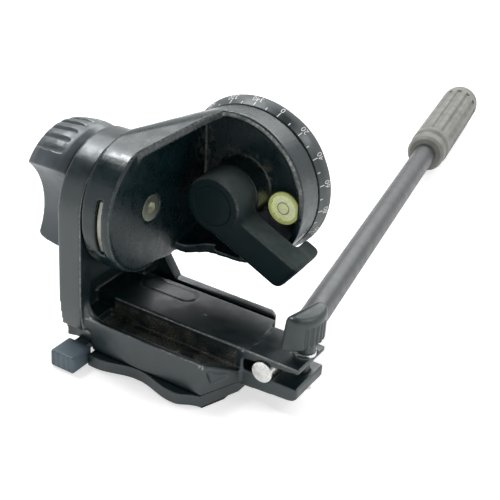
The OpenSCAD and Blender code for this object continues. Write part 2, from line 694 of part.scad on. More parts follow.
// Camera plate: lobed front edge, dovetail tongue, pockets for the screw
module plate_plan() {
    right = bar_end - gap - 0.2;
    steps = 36;
    far = corner_x;
    near = -plate_left;
    edge = [for (i = [0:steps]) let (x = near + (far - near) * i / steps)
        [x, -front_y - lobe_out * (1 - cos(360 * (x + 7) / lobe_pitch)) / 2 * min(1, (far - x) / 8)]];
    polygon(concat(edge, [[right, -bar_front], [right, plate_back - 3], [right - 3, plate_back],
        [near + 3, plate_back], [near, plate_back - 3]]));
}
module camera_plate() color([0.13, 0.14, 0.15]) difference() {
    union() {
        translate([0, 0, pad_t]) linear_extrude(plate_t - 0.1) plate_plan();
        translate([0, -front_y + wall_t + 1 + gap, 0]) rotate([90, 0, 0]) mirror([0, 0, 1])
            linear_extrude(plate_back + front_y - wall_t - 4) intersection() {
                dovetail(0, tongue_top);
                translate([-50, under - 0.6]) square([100, 50]);
            }
    }
    translate([0, 0, -1]) cylinder(h = 30, r = screw_r + run);
    translate([0, 0, pad_t + 1]) cylinder(h = 20, r = screw_head_r + gap);
}
module plate_pad() color([0.05, 0.05, 0.05]) difference() {
    linear_extrude(pad_t) intersection() {
        plate_plan();
        translate([-plate_left + 2, -front_y + 1]) square([plate_left + bar_end - 5, front_y + plate_back - 3]);
    }
    translate([0, 0, -1]) cylinder(h = 9, r = screw_r + 1);
}
module screw_washer() color(silver) translate([0, 0, washer_z]) difference() {
    cylinder(h = 0.8, r = screw_head_r - 0.2);
    translate([0, 0, -1]) cylinder(h = 3, r = screw_r + run);
}
module camera_screw() color(silver) difference() {
    union() {
        translate([0, 0, 0.3]) cylinder(h = head_z, r = screw_r);
        translate([0, 0, head_z]) cylinder(h = 2.4, r = screw_head_r);
    }
    block([-1, -20, head_z + 1.2], [1, 20, head_z + 9]);
}

platform_bracket();
axle_bush();
clamp_nut();
release_pin();
release_spring();
body_casting();
tilt_sleeve();
tilt_friction_disc();
tilt_axle();
pan_bush();
level_cup();
level_fluid();
level_bubble();
level_window();
pan_base();
pan_spindle();
pan_friction_ring();
tripod_bush();
base_pad();
pan_lever();
lever_plate();
lever_nut();
tilt_knob();
knob_insert();
knob_washer();
knob_cap();
wing_knob();
clamp_bolt();
clamp_washer();
handle_rod();
handle_bend();
handle_tube();
handle_grip();
grip_end();
release_lever();
camera_plate();
plate_pad();
screw_washer();
camera_screw();
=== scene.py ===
import bpy
import numpy as np
from mathutils import Matrix


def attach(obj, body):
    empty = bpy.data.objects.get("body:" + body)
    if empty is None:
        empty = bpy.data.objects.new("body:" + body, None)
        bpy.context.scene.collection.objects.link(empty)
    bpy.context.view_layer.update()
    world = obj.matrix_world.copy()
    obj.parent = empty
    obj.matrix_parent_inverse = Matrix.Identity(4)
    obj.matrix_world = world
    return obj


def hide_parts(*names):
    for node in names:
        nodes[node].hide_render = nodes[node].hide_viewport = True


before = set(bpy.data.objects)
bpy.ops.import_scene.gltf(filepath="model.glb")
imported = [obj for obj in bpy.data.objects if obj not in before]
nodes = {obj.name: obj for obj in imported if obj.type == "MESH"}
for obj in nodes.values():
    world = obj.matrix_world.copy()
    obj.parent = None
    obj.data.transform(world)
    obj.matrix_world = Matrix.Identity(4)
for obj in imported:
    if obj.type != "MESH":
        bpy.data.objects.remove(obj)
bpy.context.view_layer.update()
mm = 0.001


# Camera: a short telephoto from the front right, above the head, turned slightly about its own axis.
# Its three directions and its place are given in the frame's axes.
def placed(side, up, back, place):
    """The matrix of an object, from its three directions and its place."""
    return Matrix([[side[i], up[i], back[i], place[i]] for i in range(3)] + [[0, 0, 0, 1]])


camera_data = bpy.data.cameras.new("camera")
camera_data.lens = 79.13
camera_data.sensor_width = 36
camera = bpy.data.objects.new("camera", camera_data)
bpy.context.collection.objects.link(camera)
camera_right = (0.8508, 0.5210, 0.0685)
camera_up = (-0.3038, 0.3815, 0.8730)
camera_back = (0.4287, -0.7636, 0.4829)
camera_place = (0.2047, -0.3179, 0.2626)
camera.matrix_world = placed(camera_right, camera_up, camera_back, camera_place)
bpy.context.scene.camera = camera
bpy.context.scene.view_settings.view_transform = "Standard"


# Stage: a white table in a white room with a dark ceiling, lit by four soft boxes. The floor shows
# white to the camera and pale in reflections, and still takes the soft shadow of the head.
class Wire:
    """A value in a material's node tree: arithmetic on it adds Math nodes to that tree."""

    def __init__(self, finish, socket):
        self.finish = finish
        self.socket = socket

    def maths(self, operation, a, b=0.0):
        """One Math node on one or two values."""
        return self.finish.node("ShaderNodeMath", {"operation": operation}, {0: a, 1: b})

    def __add__(self, other):
        return self.maths("ADD", self, other)

    def __sub__(self, other):
        return self.maths("SUBTRACT", self, other)

    def __rsub__(self, other):
        return self.maths("SUBTRACT", other, self)

    def __mul__(self, other):
        return self.maths("MULTIPLY", self, other)

    def __truediv__(self, other):
        return self.maths("DIVIDE", self, other)

    def __abs__(self):
        return self.maths("ABSOLUTE", self)

    def __pow__(self, other):
        return self.maths("POWER", self, other)

    def at_most(self, other):
        return self.maths("MINIMUM", self, other)

    def at_least(self, other):
        return self.maths("MAXIMUM", self, other)

    __radd__ = __add__
    __rmul__ = __mul__

    def step(self, low, high, bottom=0.0, top=1.0):
        """Go smoothly from bottom to top while the value goes from low to high."""
        return self.finish.node(
            "ShaderNodeMapRange", {"interpolation_type": "SMOOTHSTEP"},
            {"Value": self, "From Min": low, "From Max": high, "To Min": bottom, "To Max": top})


class Finish:
    """A material, or the world, as a tree of nodes."""

    def __init__(self, name, tree=None):
        if tree is None:
            self.material = bpy.data.materials.new(name)
            self.material.use_nodes = True
            tree = self.material.node_tree
        self.tree = tree
        tree.nodes.clear()

    def node(self, kind, settings=None, sockets=None, out=0):
        """Add one node: its settings first, then the values or wires of its sockets."""
        made = self.tree.nodes.new(kind)
        for name, value in (settings or {}).items():
            setattr(made, name, value)
        for name, value in (sockets or {}).items():
            socket = made.inputs[name]
            if isinstance(value, Wire):
                self.tree.links.new(value.socket, socket)
            elif isinstance(value, tuple) and socket.type == "RGBA" and len(value) == 3:
                socket.default_value = (*value, 1)
            else:
                socket.default_value = value
        return Wire(self, made.outputs[out]) if made.outputs else None

    def place(self):
        """The place on the piece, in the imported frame."""
        return self.node("ShaderNodeTexCoord", out="Object")

    def axes(self, vector=None):
        """The three parts of a vector, by default the place on the piece in metres."""
        vector = vector or self.place()
        split = self.tree.nodes.new("ShaderNodeSeparateXYZ")
        self.tree.links.new(vector.socket, split.inputs[0])
        return [Wire(self, split.outputs[i]) for i in range(3)]

    def noise(self, size, detail=2.0, roughness=0.5):
        """Noise whose lumps are about size metres across, from 0 to 1."""
        return self.node("ShaderNodeTexNoise", {}, {
            "Vector": self.place(), "Scale": 1 / size, "Detail": detail, "Roughness": roughness})

    def mix(self, factor, a, b):
        """The colour a where the factor is 0, b where it is 1, and a blend between."""
        return self.node("ShaderNodeMix", {"data_type": "RGBA"}, {0: factor, 6: a, 7: b}, out=2)

    def bump(self, height, depth, strength=1.0, normal=None):
        """A normal tilted by the slope of a height, over another normal if one is given."""
        sockets = {"Height": height, "Distance": depth, "Strength": strength}
        if normal:
            sockets["Normal"] = normal
        return self.node("ShaderNodeBump", {}, sockets)

    def rounded(self, radius):
        """A normal that turns gradually over each edge, as on a rounding of some radius."""
        return self.node("ShaderNodeBevel", {"samples": 6}, {"Radius": radius})

    def surface(self, **sockets):
        """Close the tree with a Principled shader: names with underscores stand for its sockets."""
        named = {name.replace("_", " "): value for name, value in sockets.items()}
        shader = self.node("ShaderNodeBsdfPrincipled", {}, named)
        self.node("ShaderNodeOutputMaterial", {}, {"Surface": shader})
        return self.material


wall_top, ceiling_edge = 0.36, 0.62
wall_light, ceiling_light = 0.9, 0.08
room = bpy.data.worlds.new("room")
bpy.context.scene.world = room
room.use_nodes = True
sky = Finish("room", room.node_tree)
sky_height = sky.axes(sky.node("ShaderNodeTexCoord", out="Generated"))[2]
sky_strength = sky_height.step(wall_top, ceiling_edge, wall_light, ceiling_light)
sky_seen = sky.node("ShaderNodeLightPath", out="Is Camera Ray")
sky_light = sky.node("ShaderNodeBackground", {}, {
    "Color": (1, 1, 1), "Strength": sky_strength.at_least(sky_seen)})
sky.node("ShaderNodeOutputWorld", {}, {"Surface": sky_light})

floor_reach = 3
floor_corners = [(-floor_reach, -floor_reach, 0), (floor_reach, -floor_reach, 0),
                 (floor_reach, floor_reach, 0), (-floor_reach, floor_reach, 0)]
floor_mesh = bpy.data.meshes.new("floor")
floor_mesh.from_pydata(floor_corners, [], [(0, 1, 2, 3)])
floor = bpy.data.objects.new("floor", floor_mesh)
bpy.context.collection.objects.link(floor)
camera_glow, mirror_glow = 0.6, 0.4
table = Finish("white_table")
table_seen = table.node("ShaderNodeLightPath", out="Is Camera Ray") * camera_glow
table_seen = table_seen + table.node("ShaderNodeLightPath", out="Is Glossy Ray") * mirror_glow
table_white = table.node("ShaderNodeBsdfDiffuse", {}, {"Color": (0.8, 0.8, 0.8)})
table_glow = table.node("ShaderNodeEmission", {}, {"Color": (1, 1, 1), "Strength": table_seen})
table_both = table.node("ShaderNodeAddShader", {}, {0: table_white, 1: table_glow})
table.node("ShaderNodeOutputMaterial", {}, {"Surface": table_both})
floor_mesh.materials.append(table.material)


def lamp(name, place, aim, size, watts):
    """A soft box of some width and height at a place, facing an aim point."""
    data = bpy.data.lights.new(name, "AREA")
    data.shape = "RECTANGLE"
    data.size, data.size_y = size
    data.energy = watts
    box = bpy.data.objects.new(name, data)
    bpy.context.collection.objects.link(box)
    back = np.subtract(place, aim)
    back = back / np.linalg.norm(back)
    side = np.cross((0, 0, 1), back)
    side = side / np.linalg.norm(side)
    box.matrix_world = placed(side, np.cross(back, side), back, place)


lamp("window", place=(-0.60, 0.30, 1.06), aim=(0, 0, 0.06), size=(0.7, 0.7), watts=7.2)
lamp("window_core", place=(-0.66, 0.0, 1.07), aim=(0, 0, 0.06), size=(0.16, 0.16), watts=3.6)
lamp("right_soft_box", place=(0.78, 0.38, 0.90), aim=(0, 0.04, 0.06), size=(0.5, 0.5), watts=3.2)
lamp("back_soft_box", place=(-0.08, 1.0, 0.80), aim=(0, 0.02, 0.06), size=(1.1, 0.42), watts=7.5)

# Platform bracket: one aluminium die casting with the upright arm, the platform and the handle clamp,
# sprayed with semi-gloss black paint that has a fine ripple. Its edges are rubbed to bare metal, in lines
# that also serve as a painted highlight, and brown dust lies in the tray beside the bar.
coat_dark = (0.0024, 0.0110, 0.0135)
coat_light = (0.0040, 0.0150, 0.0180)
bare_metal_and_highlight = (0.42, 0.42, 0.39)
speck_grey = (0.16, 0.16, 0.14)
dust_brown = (0.23, 0.21, 0.155)
cool_shine = (0.93, 0.98, 1.0, 1.0)
ripple_depth = 0.045 * mm
chip_size = 1.5
bracket_grain = 0.56 * mm
bracket_chips = ((23, -24.4, 20), (22.4, -24.2, 19.2), (-31, -24.4, 20.2), (4.5, 5.4, 21.4),
                 (30, -6.6, 21.4))
wall_front, wall_inside, wall_edge = -24.4 * mm, -21.8 * mm, 20.0 * mm
end_wall_corner, end_wall_normal = 23 * mm, (0.927, -0.375)
bar_front, bar_top = -6.6 * mm, 21.4 * mm
crown_start, crown_fall = 6.0 * mm, -9.0
arm_inside, arm_outside, arm_half = -33.8 * mm, -44.8 * mm, 27.2 * mm
foot_height, foot_end, foot_flare = 26 * mm, 1.23, 4.0 * mm
tilt_axis_z = 64.5 * mm


def dress(name, material):
    """Give a node one finish, shade it smooth and join its loose triangles."""
    node = nodes[name]
    node.data.materials.clear()
    node.data.materials.append(material)
    node.data.polygons.foreach_set("use_smooth", np.ones(len(node.data.polygons), bool))
    weld = node.modifiers.new("join", "WELD")
    weld.merge_threshold = 0.01 * mm
    return node


def cast(name, material, grain):
    """A cast or moulded piece: its edges melt to a small radius, a little over the grain."""
    node = dress(name, material)
    melt = node.modifiers.new("grain", "REMESH")
    melt.mode = "VOXEL"
    melt.voxel_size = grain
    melt.use_smooth_shade = True
    soft = node.modifiers.new("soft", "SMOOTH")
    soft.factor = 0.5
    soft.iterations = 4


def near(finish, places, size):
    """1 close to any of some places on the piece, in millimetres, and 0 further than size away."""
    total = 0.0
    for place in places:
        away = finish.node("ShaderNodeVectorMath", {"operation": "DISTANCE"},
                           {0: finish.place(), 1: tuple(v * mm for v in place)}, out=1)
        total = away.step(size * mm, 0.4 * size * mm) + total
    return total.at_most(1.0)


def painted(name, dark, light, gloss=0.34, ripple=1.0, specks=0.5, shine=0.5, edge=0.0, wear_and_highlight=None, chips=(),
            dust=None, swell=None, powder_and_sheen=dust_brown):
    """Semi-gloss paint: soft cloudy patches, ripple bump, metal showing through in broken stretches where a
    mask of rubbed edges says, which also paints edge highlights, and at chips; the powder colour where
    another mask says, which is dust on some pieces and a painted sheen on others; and a slight swell of the
    surface."""
    finish = Finish(name)
    cloud = finish.noise(14 * mm, 3)
    smear = finish.noise(5 * mm, 4)
    grit = finish.noise(1.0 * mm, 2)
    speck = finish.noise(0.6 * mm, 1).step(0.76, 0.82) * finish.noise(18 * mm, 1).step(0.45, 0.7) * specks
    colour = finish.mix(cloud.step(0.3, 0.7), dark, light)
    colour = finish.mix(speck, colour, speck_grey)
    rough = gloss + smear.step(0.3, 0.7, -0.05, 0.08)
    bare_and_highlight = 0.0
    if wear_and_highlight or chips:
        broken = finish.noise(1.3 * mm, 4, roughness=0.7).step(0.44, 0.62)
        if wear_and_highlight:
            stretches = finish.noise(9 * mm, 2).step(0.32, 0.54, 0.45)
            # Rubbed edges, which on some pieces also paint edge highlights as light metal lines.
            bare_and_highlight = wear_and_highlight(finish) * (0.35 + broken * 0.6) * stretches + bare_and_highlight
        if chips:
            bare_and_highlight = near(finish, chips, chip_size) * broken + bare_and_highlight
        bare_and_highlight = bare_and_highlight.at_most(1.0)
        colour = finish.mix(bare_and_highlight, colour, bare_metal_and_highlight)
        rough = rough + bare_and_highlight * 0.1
    # The powder colour is dust on some pieces and a painted sheen on others.
    if dust:
        dust_and_sheen_cover = dust(finish)
        colour = finish.mix(dust_and_sheen_cover, colour, powder_and_sheen)
        rough = rough + dust_and_sheen_cover * 0.4
    relief = finish.rounded(edge * mm) if edge else None
    if swell:
        relief = finish.bump(swell(finish), 1.0, 1.0, relief)
    relief = finish.bump(grit, ripple_depth * ripple, 0.6, relief)
    return finish.surface(Base_Color=colour, Metallic=bare_and_highlight * 0.6, Normal=relief, Roughness=rough,
                          Specular_IOR_Level=shine, Specular_Tint=cool_shine)


def meeting(one, two, width):
    """1 along the edge where two surfaces meet, given the distance from each."""
    return abs(one).step(width * mm, 0.4 * width * mm) * abs(two).step(width * mm, 0.4 * width * mm)


def root(value):
    """The square root of a value in a finish."""
    return value ** 0.5


def bracket_wear(finish):
    """Rubbed edges that are also painted highlight lines: the tray's front wall, the bar's front, and the
    arm's two front edges. The arm's outline is a round head on straight sides that flare out by a square
    law at the foot."""
    x, y, z = finish.axes()
    wall = meeting(y - wall_front, z - wall_edge, 0.7) + meeting(y - wall_inside, z - wall_edge, 0.6)
    bar = meeting(y - bar_front, z - bar_top, 0.7)
    high = (z - tilt_axis_z).at_least(0.0)
    foot = (foot_end - z / foot_height).at_least(0.0)
    outline = root(y * y + high * high) - arm_half + foot * foot * foot_flare
    arm = meeting(x - arm_inside, outline, 0.7) * y.step(6 * mm, -4 * mm)
    arm = arm + meeting(x - arm_outside, outline, 0.6) * 0.5
    return (wall + bar + arm * 0.7).at_most(1.0)


def tray_dust(finish):
    """Brown dust in the tray beside the bar, patchy, with loose grains, and a few grains on the bar."""
    x, y, z = finish.axes()
    inside = z.step(20.6 * mm, 18.5 * mm) * z.step(9 * mm, 11.5 * mm) * x.step(-34 * mm, -32 * mm)
    inside = inside * y.step(-22.4 * mm, -21.6 * mm) * y.step(-5.9 * mm, -6.5 * mm)
    past_end = (x - end_wall_corner) * end_wall_normal[0] + (y - wall_front) * end_wall_normal[1]
    inside = inside * past_end.step(-1.6 * mm, -2.8 * mm)
    patchy = finish.noise(7 * mm, 3).step(0.36, 0.62)
    grains = finish.noise(0.6 * mm, 2).step(0.53, 0.60) * (0.25 + patchy * 0.65)
    on_bar = z.step(22.5 * mm, 20 * mm) * y.step(-4 * mm, 2 * mm)
    on_bar = on_bar * finish.noise(0.5 * mm, 1).step(0.70, 0.78) * 0.25
    return (inside * (patchy * 0.12 + grains) + on_bar).at_most(0.9)


def bar_swell(finish):
    """Height of the bar's top, which is slightly crowned: it falls away by a square law towards its
    back edge."""
    _, y, z = finish.axes()
    past = (y - crown_start).at_least(0.0)
    return past * past * crown_fall * z.step(20.6 * mm, 21.2 * mm) * y.step(24 * mm, 20 * mm)


cast("platform_bracket", painted(
    "bracket_paint", coat_dark, coat_light, ripple=0.6, specks=0.25, shine=1.0, wear_and_highlight=bracket_wear,
    chips=bracket_chips, dust=tray_dust, swell=bar_swell), bracket_grain)

# Tilt body: one die casting with the tilt drum, the neck and the round pan top, under the same black
# paint, a little glossier. It turns on the tilt axle, and pale dust sits in the corners of its pocket.
body_grain = 0.54 * mm
tilt_rest = np.radians(2.4)
pan_rise = 1.5 * mm
drum_front = -20.3 * mm
lip_start, lip_normal, lip_inset = (-19.7 * mm, -9.0 * mm), (0.94, -0.342), 0.3 * mm
rim_r, rim_front, rim_rise = 31.7 * mm, 28.7 * mm, 3.2 * mm


def body_axes(finish):
    """Place on the tilt body in its own axes: the tilt axis is X and the pan axis is Y."""
    x, y, z = finish.axes()
    c, t = np.cos(tilt_rest), np.sin(tilt_rest)
    z = z - tilt_axis_z
    return x, y * c + z * t, z * c - y * t


def body_wear(finish):
    """Rubbed edges that are also painted highlight lines on the drum's front edge and on the lip that runs
    from the drum to the rim, and a painted highlight on the rim's front face.
    """
    x, y, z = body_axes(finish)
    drum = abs(x - drum_front).step(0.5 * mm, 0.15 * mm) * root(y * y + z * z).step(25.6 * mm, 26.2 * mm)
    drum = drum * y.step(8 * mm, -6 * mm) * 0.25
    off_lip = (x - lip_start[0]) * lip_normal[0] + (y - lip_start[1]) * lip_normal[1] + lip_inset
    lip = abs(off_lip).step(0.5 * mm, 0.15 * mm)
    lip = lip * z.step(22 * mm, 25 * mm) * x.step(-4 * mm, -7 * mm) * 0.4
    around = root(x * x + (z - rim_rise) * (z - rim_rise))
    rim = abs(around - rim_r).step(1.0 * mm, 0.4 * mm) * abs(y - rim_front).step(0.8 * mm, 0.3 * mm)
    rim = rim * z.step(-4 * mm, 22 * mm)
    return (drum + lip + rim).at_most(1.0)


def pocket_dust(finish):
    """Pale dust in the pocket's upright corner, round the foot of the hub's boss and beside the slot."""
    x, y, z = body_axes(finish)
    corner = x.step(-13 * mm, -19 * mm) * x.step(-26 * mm, -20 * mm) * y.step(28 * mm, 37 * mm)
    corner = corner * z.step(-2 * mm, 14 * mm) * z.step(36 * mm, 20 * mm)
    from_boss = root(x * x + (z - pan_rise) * (z - pan_rise))
    ring = from_boss.step(19 * mm, 13 * mm) * y.step(34 * mm, 37 * mm) * 0.6
    lint = x.step(-27 * mm, -30 * mm) * y.step(-14 * mm, -18 * mm) * abs(z + 13 * mm).step(6 * mm, 2 * mm)
    blotch = finish.noise(2.4 * mm, 5, roughness=0.7).step(0.46, 0.66)
    return (corner + ring + lint).at_most(1.0) * blotch * 0.55


cast("body_casting", painted(
    "body_paint", coat_dark, coat_light, gloss=0.28, ripple=0.5, specks=0.1, shine=0.6, wear_and_highlight=body_wear,
    dust=pocket_dust), body_grain)

# Camera plate: a flat aluminium plate with a finger scoop, painted black like the castings and chipped
# at its front corner. It slides in the dovetail under the platform.
plate_chips = ((23.5, -26, 1.2),)
sharp_angle = np.radians(28)


def crisp(name, material):
    """A machined or cut piece: smooth between its sharp edges."""
    split = dress(name, material).modifiers.new("sharp_edges", "EDGE_SPLIT")
    split.split_angle = sharp_angle


crisp("camera_plate", painted(
    "plate_paint", coat_dark, coat_light, ripple=0.6, specks=0.2, shine=1.0, edge=0.7, chips=plate_chips))

# Pan base: a round casting behind the body, turned and painted black, with the sloping band of the degree
# scale round its front. It turns on the pan spindle, and a painted grey sheen lightens the band's far half.
painted_sheen_grey = (0.14, 0.15, 0.15)


def band_sheen(finish):
    """A painted grey sheen on the far half of the scale band."""
    x, y, z = body_axes(finish)
    return y.step(44.5 * mm, 49 * mm) * root(x * x + z * z).step(30 * mm, 33 * mm) * 0.8


# The powder colour here paints a grey sheen on the band.
crisp("pan_base", painted(
    "base_paint", coat_dark, coat_light, gloss=0.36, shine=1.0, edge=0.8, dust=band_sheen,
    powder_and_sheen=painted_sheen_grey))

# Degree scale: white print on the sloping band of the pan base, a tick every 10 degrees and a figure
# every 20, with the figures' tops towards the body. The marks are thin films that lie on the band.
band_start, band_length = 42.4 * mm, 5.8 * mm
band_r = (32.8 * mm, 34.8 * mm)
film = 0.04 * mm
zero_angle = np.radians(19.0)
first_tick, long_tick, short_tick, tick_half = 42.6 * mm, 2.3 * mm, 1.4 * mm, 0.19 * mm
tick_step, figure_step = 10, 20
figure_size, figure_line = 3.4 * mm, 5.0 * mm
print_white, print_worn = (0.88, 0.89, 0.87), (0.70, 0.71, 0.69)


def from_body(x, y, z):
    """World places of points given in the tilt body's own axes, which lean by the rest angle about X."""
    c, t = np.cos(tilt_rest), np.sin(tilt_rest)
    return np.stack([x, y * c - z * t, tilt_axis_z + y * t + z * c], axis=-1)


def on_band(across, along):
    """Lay flat marks on the band: across turns about the pan axis, along runs from the seam outwards,
    and the radius grows in step with it; a thin film stands off the band."""
    radius = band_r[0] + (band_r[1] - band_r[0]) * (along - band_start) / band_length + film
    return from_body(radius * np.sin(across), along, radius * np.cos(across) + pan_rise)


def new_piece(name, points, faces, material, body):
    """A mesh piece at the origin with its place in its points, riding on a body."""
    mesh = bpy.data.meshes.new(name)
    mesh.from_pydata(points.reshape(-1, 3).tolist(), [], [list(face) for face in faces])
    mesh.polygons.foreach_set("use_smooth", np.ones(len(mesh.polygons), bool))
    mesh.materials.append(material)
    mesh.update()
    piece = bpy.data.objects.new(name, mesh)
    bpy.context.collection.objects.link(piece)
    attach(piece, body)
    return piece


def figure(text, size):
    """Flat points and faces of a short text, centred across, standing on its base line."""
    curve = bpy.data.curves.new("figure", "FONT")
    curve.body = text
    curve.size = size
    curve.align_x = "CENTER"
    curve.resolution_u = 3
    holder = bpy.data.objects.new("figure", curve)
    bpy.context.collection.objects.link(holder)
    mesh = holder.evaluated_get(bpy.context.evaluated_depsgraph_get()).to_mesh()
    flat = np.empty(len(mesh.vertices) * 3)
    mesh.vertices.foreach_get("co", flat)
    faces = [tuple(polygon.vertices) for polygon in mesh.polygons]
    bpy.data.objects.remove(holder)
    return flat.reshape(-1, 3)[:, :2], faces


white = Finish("scale_white")
scale_white = white.surface(
    Base_Color=white.mix(white.noise(0.6 * mm, 3).step(0.4, 0.7), print_white, print_worn), Roughness=0.5)
tick_sides = np.array([-tick_half, tick_half])[:, None] / band_r[0]
tick_faces = ((0, 3, 4, 1), (1, 4, 5, 2))
mark_points = []
mark_faces = []
mark_count = 0
for degrees in range(0, 360, tick_step):
    angle = zero_angle + np.radians(degrees)
    numbered = degrees % figure_step == 0
    rows = np.linspace(0.0, long_tick if numbered else short_tick, 3)[None, :] + first_tick
    marks = [(on_band(angle + tick_sides, rows).reshape(-1, 3), tick_faces)]
    if numbered:
        flat, faces = figure(str(degrees), figure_size)
        across = angle - flat[:, 0] / band_r[1]
        marks.append((on_band(across, first_tick + figure_line - flat[:, 1]), faces))
    for points, faces in marks:
        mark_points.append(points)
        mark_faces += [tuple(mark_count + k for k in face) for face in faces]
        mark_count += len(points)
new_piece("scale_marks", np.concatenate(mark_points), mark_faces, scale_white, "base")

# Pan lock lever: one black moulding with a tall round hub, a straight arm that leaves the hub through
# a hollow shoulder, and a hook at its end. It screws down on the pan spindle with a steel nut inside,
# and a plain plate is let into its front. Sizes are in millimetres along the lever's own axes.
hub_r, hub_front, hub_back = 12.5, 13.3, 27.3
hub_inset, hub_start, hub_round = 0.1, 5, 0.4
arm_back, arm_low, arm_high, arm_end = 25.0, -11.4, 3.1, 43.6
arm_corner, arm_round, arm_overrun = 1.0, 1.7, 3
under_fillet, upper_fillet, fillet_low, fillet_rise = 1.0, 6.0, 8, 6
hook_start, hook_inset, hook_back = 35.6, 4, 32.8
hook_corner, hook_round, hook_fillet = 1.2, 1.4, 2.2
end_lean, end_inset, end_round = np.radians(12), 3, 3.6
plate_r, plate_depth, nut_r, nut_depth = 8.45, 0.8, 9.0, 2
lever_low, lever_high, lever_cell = (-13, 13, -13), (45, 34, 14), 0.42
lever_turn = np.radians(25.6)
lever_dark, lever_light = (0.0014, 0.0095, 0.0112), (0.0024, 0.0120, 0.0138)
painted_light_grey = (0.058, 0.072, 0.072)


def lever_axes(finish):
    """Place on the lever: along its arm, along the pan axis, and over the arm."""
    x, y, z = body_axes(finish)
    c, t = np.cos(lever_turn), np.sin(lever_turn)
    return x * c - (z - pan_rise) * t, y, x * t + (z - pan_rise) * c


def lever_film(finish):
    """Painted light: a lighter grey on the upper side of the lever's arm and hook, and on top of its hub,
    where the light falls.
    """
    along, y, over = lever_axes(finish)
    arm = over.step(1.6 * mm, 3.0 * mm) * along.step(13 * mm, 17 * mm)
    hub = root(along * along + over * over).step(11.2 * mm, 12.4 * mm) * over.step(3 * mm, 10 * mm)
    tip = along.step(36 * mm, 40 * mm) * y.step(24 * mm, 28 * mm)
    return (arm + hub + tip).at_most(1.0) * finish.noise(6 * mm, 3).step(0.2, 0.7, 0.6, 1.0)


def lever_edges(finish):
    """A painted highlight along the rounded front edge of the hub and of the arm's upper side."""
    along, y, over = lever_axes(finish)
    front = abs(y - 13.9 * mm).step(0.8 * mm, 0.2 * mm)
    hub = abs(root(along * along + over * over) - 11.8 * mm).step(0.7 * mm, 0.2 * mm)
    hub = hub * over.step(-2 * mm, 8 * mm)
    arm = abs(over - 2.5 * mm).step(0.7 * mm, 0.2 * mm) * along.step(13 * mm, 17 * mm)
    return front * (hub + arm).at_most(1.0) * 0.35


def skin(field, low, high, cell):
    """Points and outward faces of the surface where a field is zero. One point goes in each cell of a
    grid that the surface crosses, at the mean of its edge crossings, and then slides down the field's
    slope onto the surface; each crossed edge gives one face between the four cells round it."""
    corner = np.array(low) - 2 * cell
    axes = [np.arange(a, b + 2 * cell, cell) for a, b in zip(corner, high)]
    value = field(*np.meshgrid(*axes, indexing="ij"))
    total = np.zeros((*value.shape, 3))
    count = np.zeros(value.shape)
    rounds = []
    for axis in range(3):
        ahead = np.roll(value, -1, axis)
        hit = np.argwhere((value < 0) != (ahead < 0))
        at = tuple(hit.T)
        spot = hit.astype(float)
        spot[:, axis] += value[at] / (value[at] - ahead[at])
        one, two = [k for k in range(3) if k != axis]
        around = []
        for back_one, back_two in ((0, 0), (1, 0), (1, 1), (0, 1)):
            cells = hit.copy()
            cells[:, one] -= back_one
            cells[:, two] -= back_two
            np.add.at(total, tuple(cells.T), spot)
            np.add.at(count, tuple(cells.T), 1)
            around.append(cells)
        flip = (value[at] < 0) == (axis == 1)
        rounds.append((around, flip))
    used = count > 0
    number = np.full(value.shape, -1)
    number[used] = np.arange(used.sum())
    points = corner + cell * total[used] / count[used][:, None]
    faces = []
    for around, flip in rounds:
        four = np.stack([number[tuple(cells.T)] for cells in around], axis=1)
        four[flip] = four[flip][:, ::-1]
        faces.append(four)
    nudge = 0.02 * cell
    for _ in range(4):
        here = field(*points.T)
        slope = np.stack([(field(*(points + nudge * side).T) - here) / nudge for side in np.eye(3)], axis=1)
        steep = np.maximum((slope ** 2).sum(axis=1), 0.2)
        points = points - np.clip(here / steep, -0.4 * cell, 0.4 * cell)[:, None] * slope
    return points, np.concatenate(faces)


def joined(a, b, round_by):
    """The nearer of two surfaces, with a fillet where they meet."""
    share = np.maximum(round_by - np.abs(a - b), 0) / round_by
    return np.minimum(a, b) - share ** 2 * round_by / 4


def cut(a, b, round_by):
    """What two surfaces have in common, with a rounded edge where they meet."""
    return -joined(-a, -b, round_by)


def both(one, two, round_by):
    """Distance from the corner region of two limits, rounded where they meet."""
    outside = np.hypot(np.maximum(one + round_by, 0), np.maximum(two + round_by, 0))
    return outside + np.minimum(np.maximum(one + round_by, two + round_by), 0) - round_by


def slab(outline, place, start, end, round_by):
    """A flat outline drawn out from start to end, with its edges rounded."""
    return both(outline, np.abs(place - (start + end) / 2) - (end - start) / 2, round_by)


def oblong(a, b, low, high, round_by):
    """A flat rectangle with rounded corners."""
    beside = np.abs(a - (low[0] + high[0]) / 2) - (high[0] - low[0]) / 2
    above = np.abs(b - (low[1] + high[1]) / 2) - (high[1] - low[1]) / 2
    return both(beside, above, round_by)


